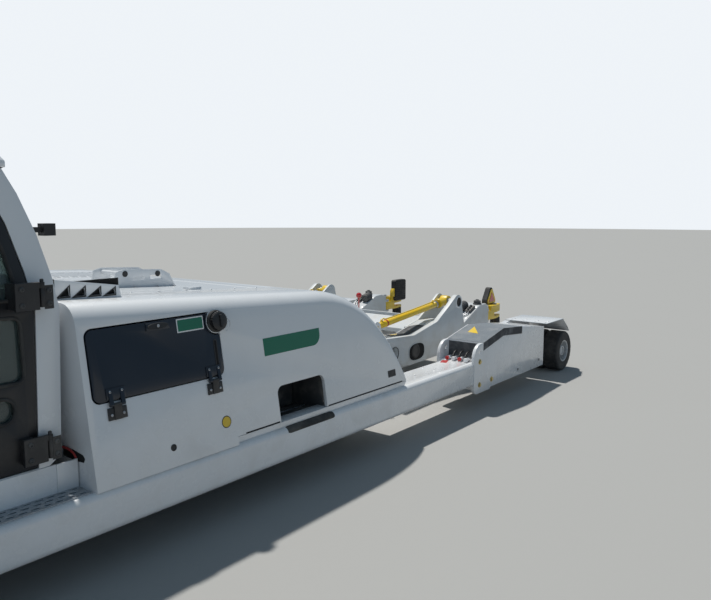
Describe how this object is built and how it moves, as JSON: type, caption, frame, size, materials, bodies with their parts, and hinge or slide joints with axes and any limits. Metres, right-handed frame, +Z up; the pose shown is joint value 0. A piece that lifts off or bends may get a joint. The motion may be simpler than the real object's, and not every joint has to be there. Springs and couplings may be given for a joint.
{
  "type": "towbarless aircraft pushback tractor",
  "caption": "Low towbarless aircraft tractor with a side cab, steered front wheels, rear arms on twin wheels, a lifting cradle and swing gates for an aircraft's nose gear.",
  "frame": {"origin": "on the ground under the middle of the tractor's bounding box", "axes": "+X forward along the tractor, +Y to the driver's side, +Z up"},
  "size_m": [8.5999, 3.43, 2.3],
  "materials": {
    "white_paint": "gloss white paint, lightly dusty",
    "grey_paint": "light grey paint, scuffed",
    "dark_metal": "dark painted castings",
    "black_paint": "satin black paint",
    "black_plastic": "moulded black plastic",
    "lamp_plastic": "clear lamp lenses in black housings",
    "amber_plastic": "amber beacon dome",
    "red_plastic": "red ball",
    "window_glass": "tinted window glass",
    "seat_cover": "black seat fabric",
    "galvanised_steel": "galvanised perforated plate",
    "charcoal_paint": "charcoal paint",
    "navy_paint": "very dark blue gloss paint",
    "yellow_paint": "yellow paint",
    "tyre_rubber": "black solid tyre",
    "pad_rubber": "black rubber",
    "rim_grey": "light grey wheel paint"
  },
  "bodies": {
    "chassis": {"chassis_frame": "white_paint", "arm_box_left": "white_paint", "arm_box_right": "white_paint", "fenders": "white_paint", "rear_axles": "dark_metal", "front_axle": "dark_metal", "side_fairing_left": "white_paint", "side_fairing_right": "white_paint", "hood_deck": "white_paint", "hood_front": "white_paint", "nose_body": "white_paint", "bumper": "black_paint", "lamps": "lamp_plastic", "cab_shell": "white_paint", "cab_roof": "white_paint", "cab_glass": "window_glass", "seat": "seat_cover", "console": "black_plastic", "mirrors": "black_plastic", "beacon": "amber_plastic", "steps": "galvanised_steel", "intake_cowl": "white_paint", "power_pack": "dark_metal", "indicator_rod": "red_plastic", "hinges": "black_paint"},
    "steer_knuckle_left": {"knuckle_left": "dark_metal"},
    "steer_knuckle_right": {"knuckle_right": "dark_metal"},
    "tie_rod": {"tie_rod": "dark_metal"},
    "front_wheel_left": {"front_tyre_left": "tyre_rubber", "front_rim_left": "rim_grey"},
    "front_wheel_right": {"front_tyre_right": "tyre_rubber", "front_rim_right": "rim_grey"},
    "rear_wheel_left": {"rear_tyres_left": "tyre_rubber", "rear_rim_left": "rim_grey"},
    "rear_wheel_right": {"rear_tyres_right": "tyre_rubber", "rear_rim_right": "rim_grey"},
    "door": {"cab_door": "charcoal_paint", "door_glass": "window_glass"},
    "side_panel": {"access_panel": "navy_paint"},
    "lid": {"hood_lid": "white_paint", "deck_guard": "white_paint"},
    "cradle": {"cradle_frame": "grey_paint"},
    "lift_barrels": {"cylinder_barrels": "yellow_paint"},
    "lift_rods": {"cylinder_rods": "yellow_paint"},
    "gate_left": {"gate_left": "yellow_paint", "gate_pads_left": "pad_rubber"},
    "gate_right": {"gate_right": "yellow_paint", "gate_pads_right": "pad_rubber"}
  },
  "joints": [
    {"name": "steer_left", "type": "hinge", "parent": "chassis", "child": "steer_knuckle_left", "pos_m": [3.56, 1.29, 0.355], "axis": [0, 0, 1], "range_deg": [-30, 30]},
    {"name": "steer_right", "type": "hinge", "parent": "chassis", "child": "steer_knuckle_right", "pos_m": [3.56, -1.29, 0.355], "axis": [0, 0, 1], "range_deg": [-30, 30]},
    {"name": "tie_rod_slide", "type": "slide", "parent": "chassis", "child": "tie_rod", "axis": [0, -1, 0], "range_m": [-0.12, 0.12]},
    {"name": "front_spin_left", "type": "hinge", "parent": "steer_knuckle_left", "child": "front_wheel_left", "pos_m": [3.56, 1.55, 0.355], "axis": [0, 1, 0], "continuous": true},
    {"name": "front_spin_right", "type": "hinge", "parent": "steer_knuckle_right", "child": "front_wheel_right", "pos_m": [3.56, -1.55, 0.355], "axis": [0, 1, 0], "continuous": true},
    {"name": "rear_spin_left", "type": "hinge", "parent": "chassis", "child": "rear_wheel_left", "pos_m": [-4.0715, 1.506, 0.2285], "axis": [0, 1, 0], "continuous": true},
    {"name": "rear_spin_right", "type": "hinge", "parent": "chassis", "child": "rear_wheel_right", "pos_m": [-4.0715, -1.506, 0.2285], "axis": [0, 1, 0], "continuous": true},
    {"name": "door_hinge", "type": "hinge", "parent": "chassis", "child": "door", "pos_m": [2.11, 1.562, 1.07], "axis": [0, 0, 1], "range_deg": [0, 85]},
    {"name": "panel_hinge", "type": "hinge", "parent": "chassis", "child": "side_panel", "pos_m": [1.485, 1.64958, 0.868], "axis": [-1, 0, 0], "range_deg": [0, 100]},
    {"name": "lid_hinge", "type": "hinge", "parent": "chassis", "child": "lid", "pos_m": [0.87, -0.154, 1.33975], "axis": [0.9985, 0, 0.0554], "range_deg": [0, 70]},
    {"name": "cradle_lift", "type": "hinge", "parent": "chassis", "child": "cradle", "pos_m": [-1.98, 0, 0.47], "axis": [0, 1, 0], "range_deg": [-9, 3]},
    {"name": "cylinder_tilt", "type": "hinge", "parent": "chassis", "child": "lift_barrels", "pos_m": [-1.5, 0, 0.745], "axis": [0, 1, 0], "range_deg": [-6, 2.1]},
    {"name": "rod_slide", "type": "slide", "parent": "lift_barrels", "child": "lift_rods", "axis": [-0.9954, 0, 0.0958], "range_m": [-0.018, 0.049]},
    {"name": "gate_swing_left", "type": "hinge", "parent": "cradle", "child": "gate_left", "pos_m": [-3.9, 0.745, 0.578], "axis": [0, 0, 1], "range_deg": [0, 90]},
    {"name": "gate_swing_right", "type": "hinge", "parent": "cradle", "child": "gate_right", "pos_m": [-3.9, -0.745, 0.578], "axis": [0, 0, -1], "range_deg": [0, 90]}
  ],
  "couplings": [
    {"joint": "steer_right", "follows": "steer_left", "ratio": 1},
    {"joint": "tie_rod_slide", "follows": "steer_left", "m_per_rad": 0.2196},
    {"joint": "cylinder_tilt", "follows": "cradle_lift", "ratio": 0.655},
    {"joint": "rod_slide", "follows": "cradle_lift", "m_per_rad": -0.3}
  ]
}
